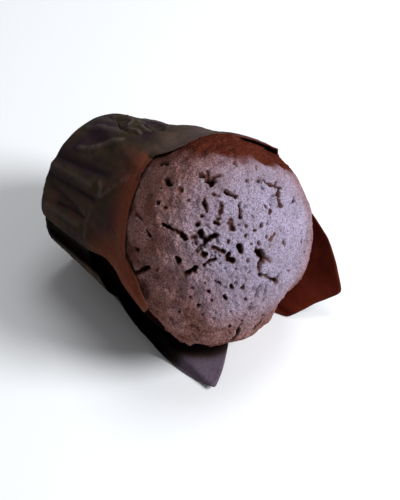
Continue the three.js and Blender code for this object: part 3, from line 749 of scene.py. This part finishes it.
# %% The sheet of paper
PAPER = 0.3
LAYER = 0.95
CASE_GAP = 0.9
FLARE_SLOPE = 0.12
BASE_SHEET_HEIGHT = 0.4
FOLD_NOSE = 1
FOLD_COVER = 2.4
FOLD_FADE = 6
STACK_END = 7
FOLD_START = 2.5
FOLD_END = 13
FLARE_POWER = 2
CURL_POWER = 8
OVERHANG_POWER = 6
DISC_ROWS = 3
CORNER_ROWS = 2
WALL_ROWS = 34
CASE_CORNER = 2.4
BETWEEN = 3


def case_radius(height, angle):
    puff = swelling(PUFF, angle) * (1 - smoothstep(height, 0, PUFF["height"]))
    belly = swelling(BELLY, angle) * np.exp(-(((height - BELLY["height"]) / BELLY["rise"]) ** 2))
    return side_radius(height, angle) + puff + belly + CASE_GAP + FLARE_SLOPE * max(0, height - RIM_HEIGHT)

print("cup radius at the base and the rim", round(case_radius(0, 0), 1), round(case_radius(RIM_HEIGHT, 0), 1))

# %% [markdown]
# ## Lines up the flaps
# Each line is a small record: its height, where it starts at the base, and its angle, its flare and
# the layers under it at any height. Functions of the height suit this, because a line has to meet
# its neighbours all the way up. A shoulder line beside each fold keeps the paper flat over it.


# %% Lines up the flaps
def flap_line(end, height, flare, start, swing=1):
    bend = CURL_POWER if flare < 0 else FLARE_POWER
    return {
        "height": height,
        "start": start,
        "folded": False,
        "angle": lambda h: lerp(start, end, (h / height) ** swing),
        "flare": lambda h: flare * (h / height) ** bend,
    }


def pleat_line(creases, offset, height, start, layers):
    def middle(name, h):
        return sum(crease[name](h) for crease in creases) / len(creases)

    start_offset = start - sum(crease["start"] for crease in creases) / len(creases)
    return {
        "height": height,
        "start": start,
        "folded": True,
        "angle": lambda h: middle("angle", h)
        + lerp(start_offset, offset, smoothstep(h, FOLD_START, FOLD_END)),
        "layers": lambda h: layers,
        "flare": lambda h: np.clip(layers, 0, 1) * middle("flare", h),
    }


def shoulder_line(crease, neighbour, offset):
    end = crease["angle"](crease["height"])
    next_end = neighbour["angle"](neighbour["height"])
    overhangs = abs(next_end - end) < abs(offset) or (next_end - end) * offset < 0
    share = 0.4 if overhangs else offset / (next_end - end)
    height = lerp(crease["height"], neighbour["height"], share)
    crease_flare = crease["flare"](crease["height"])
    flare = max(crease_flare, lerp(crease_flare, neighbour["flare"](neighbour["height"]), share))
    line = pleat_line([crease], offset, height, crease["start"] + 0.5 * offset, 2)
    turn = lerp(end, next_end, share) - end - offset if overhangs else 0
    return {
        **line,
        "folded": False,
        "angle": lambda h: line["angle"](h) + turn * (h / height) ** OVERHANG_POWER,
        "flare": lambda h: flare * (h / height) ** FLARE_POWER,
    }


def flap_lines(rows, before, after):
    made = [flap_line(*row) for row in rows]
    first, last = made[0], made[-1]
    first_shoulder = shoulder_line(first, made[1], before + FOLD_COVER)
    last_shoulder = shoulder_line(last, made[-2], -after - FOLD_COVER)
    every = [first, first_shoulder, *made[1:-1], last_shoulder, last]

    def layers_of(line):
        def layers(h):
            angle = line["angle"](h)
            past = min(angle - first["angle"](h) - before, last["angle"](h) - angle - after)
            return 2 - 1.8 * smoothstep(past, FOLD_COVER, FOLD_COVER + FOLD_FADE)

        return layers

    return [{**line, "layers": layers_of(line)} for line in every]


print("lines of the upper flap", len(flap_lines(FLAPS["upper"], PLEATS["right"][0], PLEATS["upper"][0])))

# %% [markdown]
# ## Lines of the pleats
# At a box pleat the sheet turns back under itself twice. That takes eleven lines between two
# creases: over the nose of the first fold, back beneath it, across the bottom layer, and the same
# again on the far side. The upper pleat is pressed shut and needs only three.

# %% Lines of the pleats
PART_START = 18
PART_END = 27


def pleat_lines(crease1, crease2, arc, sink):
    bridge = min(crease1["height"], crease2["height"]) - 1.5
    steps = [
        ([crease1], FOLD_NOSE, crease1["height"], 1.5),
        ([crease1], 0, crease1["height"] - 0.4, 1),
        ([crease1], -arc, crease1["height"] - 1, 1),
        ([crease1], -arc - FOLD_NOSE, bridge, 0.5),
        ([crease1], -arc, bridge, 0),
        ([crease1, crease2], 0, bridge, -sink),
        ([crease2], arc, bridge, 0),
        ([crease2], arc + FOLD_NOSE, bridge, 0.5),
        ([crease2], arc, crease2["height"] - 1, 1),
        ([crease2], 0, crease2["height"] - 0.4, 1),
        ([crease2], -FOLD_NOSE, crease2["height"], 1.5),
    ]
    made = []
    for number, (creases, offset, height, layers) in enumerate(steps, 1):
        start = lerp(crease1["start"], crease2["start"], number / (len(steps) + 1))
        made.append(pleat_line(creases, offset, height, start, layers))
    return made


def rising_layers(low):
    return lambda h: lerp(low, 2, smoothstep(h, PART_START, PART_END))


def closed_pleat(crease1, crease2):
    """The upper pleat: its two flaps meet, and only near the base does a groove part them."""
    height = min(crease1["height"], crease2["height"])
    made = []
    for share, offset, low in ((0.3, -1, 1.7), (0.5, 0, 1.3), (0.7, 1, 1.7)):
        start = lerp(crease1["start"], crease2["start"], share)
        line = pleat_line([crease1, crease2], offset, height, start, low)
        made.append({**line, "folded": False, "layers": rising_layers(low)})
    return made


def turned(line):
    return {**line, "start": line["start"] + 360, "angle": lambda h: line["angle"](h) + 360}


def sheet_lines():
    names = list(FLAPS)
    flaps = []
    for i, name in enumerate(names):
        before, after = PLEATS[names[i - 1]][0], PLEATS[name][0]
        flaps.append(flap_lines(FLAPS[name], before, after))
    every = []
    for i, (name, lines) in enumerate(zip(names, flaps)):
        following = flaps[i + 1][0] if i + 1 < len(flaps) else turned(flaps[0][0])
        if name == "upper":
            pleat = closed_pleat(lines[-1], following)
        else:
            pleat = pleat_lines(lines[-1], following, *PLEATS[name])
        every += [*lines, *pleat]
    return every


lines = sheet_lines()
print("lines round the case", len(lines), "of them folded", sum(line["folded"] for line in lines))

# %% [markdown]
# ## From lines to a mesh
# The points along each line are one column of a grid, with a few columns blended in between, and
# faces join the columns all round. Where the laid paper would sink into the table it is held up by
# as many layers as lie under it.


# %% From lines to a mesh
def line_points(line):
    """Rows of radius, height and angle along a line, from near the middle of the base to its end."""
    flat = case_radius(0, 0) - CASE_CORNER
    start = np.radians(line["start"])
    rows = [(flat * i / DISC_ROWS, BASE_SHEET_HEIGHT, start) for i in range(1, DISC_ROWS + 1)]
    for i in range(1, CORNER_ROWS + 1):
        turn = i / (CORNER_ROWS + 1) * np.pi / 2
        corner_height = BASE_SHEET_HEIGHT + CASE_CORNER * (1 - np.cos(turn))
        rows.append((flat + CASE_CORNER * np.sin(turn), corner_height, start))
    for i in range(WALL_ROWS + 1):
        h = lerp(CASE_CORNER, line["height"], i / WALL_ROWS)
        angle = np.radians(line["angle"](h))
        stack = line["layers"](h) * LAYER * smoothstep(h, 0, STACK_END)
        rows.append((case_radius(h, angle) + stack + line["flare"](h), h + BASE_SHEET_HEIGHT, angle))
    return np.array(rows)


def room_under(line):
    """How far the folded layers hold a line off the table."""
    return (2 - max(line["layers"](0), 0)) * LAYER if line["folded"] else 0


closing = lines + [turned(lines[0])]
columns = []
room = []
for line, following in zip(closing[:-1], closing[1:]):
    between = 0 if line["folded"] or following["folded"] else BETWEEN
    for i in range(between + 1):
        share = i / (between + 1)
        columns.append(lerp(line_points(line), line_points(following), share))
        room.append(lerp(room_under(line), room_under(following), share))
columns = np.array(columns)
column_count, row_count = columns.shape[:2]
radius, height, angle = np.moveaxis(columns, 2, 0)
grid = np.stack([radius * np.cos(angle), radius * np.sin(angle), height], axis=2)
local = np.concatenate([[[0, 0, BASE_SHEET_HEIGHT]], grid.reshape(-1, 3)])
laid = lay(local)
laid[1:, 2] = np.maximum(laid[1:, 2], PAPER / 2 + np.repeat(room, row_count))


def at(column, row):
    return 1 + (column % column_count) * row_count + row


faces = [(0, at(c + 1, 0), at(c, 0)) for c in range(column_count)]
faces += [
    (at(c, r), at(c + 1, r), at(c + 1, r + 1), at(c, r + 1))
    for c in range(column_count)
    for r in range(row_count - 1)
]
sheet = bpy.data.meshes.new("paper_wrap")
sheet.from_pydata([tuple(point / 1000) for point in laid], [], faces)
paper = bpy.data.objects.new("paper_wrap", sheet)
bpy.context.collection.objects.link(paper)
select_only(paper)
rounding = paper.modifiers.new("rounding", "SUBSURF")
rounding.levels = 1
rounding.render_levels = 1
bpy.ops.object.modifier_apply(modifier=rounding.name)
print("paper lines", column_count, "rows", row_count, "points", len(paper.data.vertices))

# %% [markdown]
# ## Creases of the paper
# Pressed paper never lies smooth. Each crease is named by a run of places on the cup, as angle and
# height, with a width and a height: a ridge stands out, a furrow sinks in. The hollow beside the
# upper pleat is a patch with an outline. Points move along the cup's radius, so all layers of a
# pleat move together.


# %% Creases of the paper
UNROLLED_RADIUS = 31.0
CREASES = [
    ([(140, 4), (140, 19.5), (140.5, 31)], 2.6, -1.0), ([(126.5, 2), (125, 17), (122, 31)], 3.4, -1.0),
    ([(155, 13), (154, 22), (153.5, 29)], 1.9, -0.8), ([(146, 7), (148.5, 16.5), (151.5, 23)], 3, -0.8),
    ([(114, 11), (112, 15), (105, 19.5), (97.5, 26)], 1.7, 0.9),
    ([(120, 40), (131.5, 34.5), (136, 32.5)], 1.3, 0.7),
    ([(128.5, 29), (132, 31.5), (143.5, 31.5), (154, 30)], 1.3, 0.7), ([(149.5, 28), (163, 31)], 1.3, 0.6),
    ([(120.5, 38), (112, 45)], 1.4, 0.6), ([(96, 6.5), (93.5, 14), (92.5, 22)], 2.4, 0.6),
    ([(133, 3), (133, 26)], 2.2, 0.5), ([(160, 8), (160, 26)], 2.2, 0.5), ([(117, 20), (116, 33)], 2.5, -0.5),
    ([(20, 12), (24, 34)], 2.5, -0.6), ([(38, 8), (40, 30), (36, 44)], 2.5, 0.6),
    ([(300, 15), (304, 40)], 2.5, -0.6),
    ([(330, 10), (326, 38), (331, 55)], 2.6, 0.6), ([(345, 20), (343, 50)], 2.2, -0.5),
]
HOLLOW = [
    (71, 6.5), (78.5, 12), (85, 16.5), (90, 20.5), (91, 26), (89, 29), (83, 31.5), (76, 35), (63, 28),
    (59.5, 21.5), (55, 14.5), (56, 10), (61.5, 7.5),
]
HOLLOW_CREASES = [
    ([(75, 23), (79.5, 28), (80.5, 33)], 1.3, 1.1), ([(83.5, 20), (83, 25), (84.5, 28)], 1.2, 0.9),
    ([(87.5, 27.5), (86.5, 30), (83, 31.5)], 0.9, -0.9),
    ([(67.5, 19.5), (74, 26), (76, 30), (76, 35)], 1.5, -1.0),
    ([(64, 10), (72, 17), (80, 19)], 1.3, 0.8), ([(60, 14), (68, 22)], 1.3, 0.6),
    ([(71, 4), (78.5, 12), (85, 16.5), (90, 20.5)], 1.1, -2),
]
UPPER_EDGE = [line[:2] for line in FLAPS["upper"][1:]]
LEFT_EDGE = [line[:2] for line in FLAPS["left"]]


def stand(points):
    """The way back from the table to the cup's own frame."""
    x, y, z = (points - CENTRING).T
    up = z - BASE_CENTRE_HEIGHT
    return np.stack([x, np.sin(LEAN) * y + np.cos(LEAN) * up, np.sin(LEAN) * up - np.cos(LEAN) * y], axis=1)


def unrolled(places):
    """Places given by angle and height, as flat points in millimetres."""
    places = np.array(places, dtype=float)
    return np.stack([np.radians(places[:, 0]) * UNROLLED_RADIUS, places[:, 1], 0 * places[:, 0]], axis=1)


def crease_relief(flat, creases):
    relief = np.zeros(len(flat))
    for run, width, rise in creases:
        share = np.clip(1 - distance_to_run(flat, list(unrolled(run))) / width, 0, 1)
        relief += rise * share ** 1.4
    return relief


def inside_outline(flat, outline):
    corners = unrolled(outline)
    crossings = np.zeros(len(flat), dtype=int)
    for a, b in zip(corners, np.roll(corners, -1, axis=0)):
        spans = (a[1] > flat[:, 1]) != (b[1] > flat[:, 1])
        rise = b[1] - a[1] if b[1] != a[1] else 1e-9
        reach = a[0] + (flat[:, 1] - a[1]) / rise * (b[0] - a[0])
        crossings += spans & (flat[:, 0] < reach)
    return crossings % 2 == 1


print("places on the left flap's edge", len(LEFT_EDGE), "on the upper flap's edge", len(UPPER_EDGE))

# %% [markdown]
# ## Pressing the creases in
# The places of the creases are compared with the points on the unrolled cup. Besides the creases the
# wall has small ripples, it sags below the hollow, it draws in between the upper and the left flap,
# and its free edges turn in a little. Near the table nothing moves, so the case still lies flat.

# %% Pressing the creases in
points = mesh_points(paper) * 1000
upright = stand(points)
height = upright[:, 2]
turn = (np.degrees(np.arctan2(upright[:, 1], upright[:, 0])) + 360) % 360
flat = unrolled(np.stack([turn, height], axis=1))
to_outline = distance_to_run(flat, list(unrolled(HOLLOW + HOLLOW[:1])))
in_hollow = smoothstep(np.where(inside_outline(flat, HOLLOW), to_outline, -to_outline), -0.2, 0.5)
hollow_folds = crease_relief(flat, HOLLOW_CREASES)
hollow_depth = lerp(0.5, 1.7, smoothstep(turn, 58, 74))
ripple = 0.3 * noise(flat * np.array([1, 0.5, 1]), 6, 3) + 0.14 * noise(flat, 2.6, 5)
ripple += 0.08 * noise(flat, 1.4, 7)
folds = crease_relief(flat, CREASES)
relief = ripple + 1.2 * folds
relief -= 1.5 * np.exp(-(((turn - 68) / 24) ** 2) - (((height - 6) / 8) ** 2))
folds += in_hollow * hollow_folds
relief += in_hollow * (hollow_folds - hollow_depth + 0.3 * noise(flat, 2.2, 9))
to_upper_edge = distance_to_run(flat, list(unrolled(UPPER_EDGE)))
relief -= 0.7 * (1 - smoothstep(to_upper_edge, 1, 5))
relief -= 1.4 * smoothstep(height, 22, 42) * (1 - smoothstep(np.abs(turn - 99), 7, 22))
to_left_edge = distance_to_run(flat, list(unrolled(LEFT_EDGE)))
on_left = (turn > 99) & (turn < 184.5)
relief -= np.where(on_left, 0.45 * (1 - smoothstep(to_left_edge, 1.2, 2.6)), 0)
radial = upright * np.array([1, 1, 0])
radial /= np.maximum(np.linalg.norm(radial, axis=1, keepdims=True), 1e-6)
on_wall = smoothstep(height, 0.8, 4) * smoothstep(points[:, 2], 0.8, 5)
points = lay(upright + radial * (relief * on_wall)[:, None])
set_mesh_points(paper, points / 1000)
print("creases", len(CREASES) + len(HOLLOW_CREASES))
print("relief from", round(relief.min(), 2), "to", round(relief.max(), 2), "mm")

# %% [markdown]
# ## Thickness of the paper
# The Solidify modifier turns the surface into a sheet of even thickness. It writes one shell after
# the other, so comparing their distances from the cup's axis tells the inner side from the outer.

# %% Thickness of the paper
thickness = paper.modifiers.new("thickness", "SOLIDIFY")
thickness.thickness = PAPER / 1000
thickness.offset = 0
bpy.ops.object.modifier_apply(modifier=thickness.name)
bpy.ops.object.shade_smooth()
shells = stand(mesh_points(paper) * 1000)
count = len(points)
away = np.hypot(shells[:, 0], shells[:, 1])
first_outside = (away[:count] > away[count:]).mean() > 0.5
inner = np.repeat([0.0, 1.0] if first_outside else [1.0, 0.0], count)
print("paper triangles about", 2 * len(paper.data.polygons), "inner share", inner.mean())

# %% [markdown]
# ## Where the paper changes colour
# Inside, the flaps are painted redder, standing in for light that comes through them, and the flap
# on the table gets a painted cool reflection of the sky. Painted shadow makes the paper darkest
# under the crust and deep in the gap between the left flap and the table flap. A painted sheen makes
# its upper part beside the crust paler, painted highlights lighten the left flap's edge and the
# creases' ridges, and painted shade darkens the furrows.

# %% Where the paper changes colour
turn, rise, folds = np.tile(turn, 2), np.tile(height, 2), np.tile(folds, 2)
to_upper_edge, to_left_edge = np.tile(to_upper_edge, 2), np.tile(to_left_edge, 2)
# The inner side of the right and upper flaps, and the upper flap's tip, are painted redder for light shining
# through them.
lit_through_side = (turn > 283) | (turn < 98)
upper_tip = (1 - smoothstep(to_upper_edge, 1.5, 4.5)) * (1 - smoothstep(turn, 56, 70))
on_table = (turn > 186) & (turn < 283)
dark_limit = np.interp(turn, [225, 235, 240, 245, 252], [60, 62.5, 66, 69, 70.5])
under_crust = inner * on_table * (1 - smoothstep(rise, dark_limit - 2, dark_limit + 2))
in_gap = smoothstep(turn, 175.5, 177.5) * (1 - smoothstep(turn, 186.5, 189))
in_gap *= smoothstep(rise, 2, 5) * (1 - smoothstep(rise, 46, 50))
by_crust = smoothstep(rise, 32, 46) * smoothstep(turn, 20, 40) * (1 - smoothstep(turn, 92, 98))
near_edge = (1 - smoothstep(to_left_edge, 1, 14)) * smoothstep(rise, 26, 50)
set_attribute(paper, "lit_through_inside", np.maximum(inner * lit_through_side, upper_tip))
# Painted cool reflection of the sky on the table flap's inside, above its painted shadow.
set_attribute(paper, "sky_sheen_inside", inner * on_table * smoothstep(rise, dark_limit, dark_limit + 4))
set_attribute(paper, "shaded", np.maximum(under_crust, in_gap))
# Painted sheen on the outer side of the upper part beside the crust.
set_attribute(paper, "upper_sheen", by_crust * (1 - inner))
# Painted shade in the furrows and painted highlights on the ridges of the creases.
set_attribute(paper, "furrow", np.clip(-folds, 0, 1))
set_attribute(paper, "ridge", np.clip(folds, 0, 1))
set_attribute(paper, "lit_edge", near_edge * np.tile(on_left, 2) * (1 - inner))
print("attributes", sorted(a.name for a in paper.data.attributes if a.data_type == "FLOAT"))

# %% [markdown]
# ## The paper's material
# Greaseproof baking paper, dyed dark brown, has a faint sheen. Noise varies the brown a little, and
# each number kept on the points mixes in one more colour, all of them painted light and shade:
# highlights on ridges and on the left flap's edge, shade in furrows, a sheen on the upper part, light
# through the inside, a cool reflection inside the table flap, and shadow under the crust and in the
# gap. A fine bump gives the fibres.

# %% The paper's material
OUTSIDE = [(0.36, (0.026, 0.012, 0.019)), (0.5, (0.033, 0.023, 0.013)), (0.64, (0.062, 0.028, 0.02))]
# Painted light shining through the paper, seen on its inner side.
LIT_THROUGH_INSIDE = [(0.35, (0.05, 0.005, 0.002)), (0.65, (0.105, 0.014, 0.006))]
# Painted shade for furrows, painted highlight for ridges.
FURROW_SHADE = (0.018, 0.01, 0.015)
RIDGE_HIGHLIGHT = (0.1, 0.075, 0.066)
# Painted sheen on the upper part.
PAINTED_UPPER_SHEEN = (0.105, 0.068, 0.058)
LIT_EDGE = (0.145, 0.036, 0.017)
# Painted cool reflection of the sky.
SKY_SHEEN_INSIDE = (0.11, 0.078, 0.108)
DEEP_SHADOW = (0.006, 0.003, 0.003)
SPECK = (0.02, 0.01, 0.01)

wrap, tree = new_material("paper")
place = tree.nodes.new("ShaderNodeTexCoord").outputs["Object"]
clouds = noise_value(tree, place, 60, 4, 0.6)
outside = ramp(tree, clouds, OUTSIDE)
# Painted shade in furrows, then painted highlights on ridges.
furrow = share_ramp(tree, attribute_value(tree, "furrow"), 0.1, 0.8, 0.8)
furrow_shaded = mix_color(tree, furrow, outside, FURROW_SHADE)
ridge = share_ramp(tree, attribute_value(tree, "ridge"), 0.1, 0.8, 0.7)
ridge_lit = mix_color(tree, ridge, furrow_shaded, RIDGE_HIGHLIGHT)
# Painted sheen on the upper part beside the crust.
upper_sheen_share = share_ramp(tree, attribute_value(tree, "upper_sheen"), 0, 1, 0.6)
upper_sheened = mix_color(tree, upper_sheen_share, ridge_lit, PAINTED_UPPER_SHEEN)
edged = mix_color(tree, "lit_edge", upper_sheened, LIT_EDGE)
# Painted light shining through the inner side of the flaps.
lit_through_color = ramp(tree, clouds, LIT_THROUGH_INSIDE)
lit_through = mix_color(tree, "lit_through_inside", edged, lit_through_color)
# Painted cool sky reflection inside the table flap.
sky_sheened = mix_color(tree, "sky_sheen_inside", lit_through, SKY_SHEEN_INSIDE)
in_shadow = mix_color(tree, "shaded", sky_sheened, DEEP_SHADOW)
specks = noise_value(tree, place, 900, 3, 0.6)
speck_share = share_ramp(tree, specks, 0.45, 0.75, 0.35)
paper_color = mix_color(tree, speck_share, in_shadow, SPECK)
shader = tree.nodes["Principled BSDF"]
tree.links.new(paper_color, shader.inputs["Base Color"])
shader.inputs["Roughness"].default_value = 0.68
shader.inputs["Specular IOR Level"].default_value = 0.05
fibres = noise_value(tree, place, 500, 3, 0.6)
tree.links.new(add_bump(tree, fibres, 0.25, 0.0003), shader.inputs["Normal"])
paper.data.materials.append(wrap)
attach(paper, "root")
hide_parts("paper_case")
print("paper material nodes", len(tree.nodes))
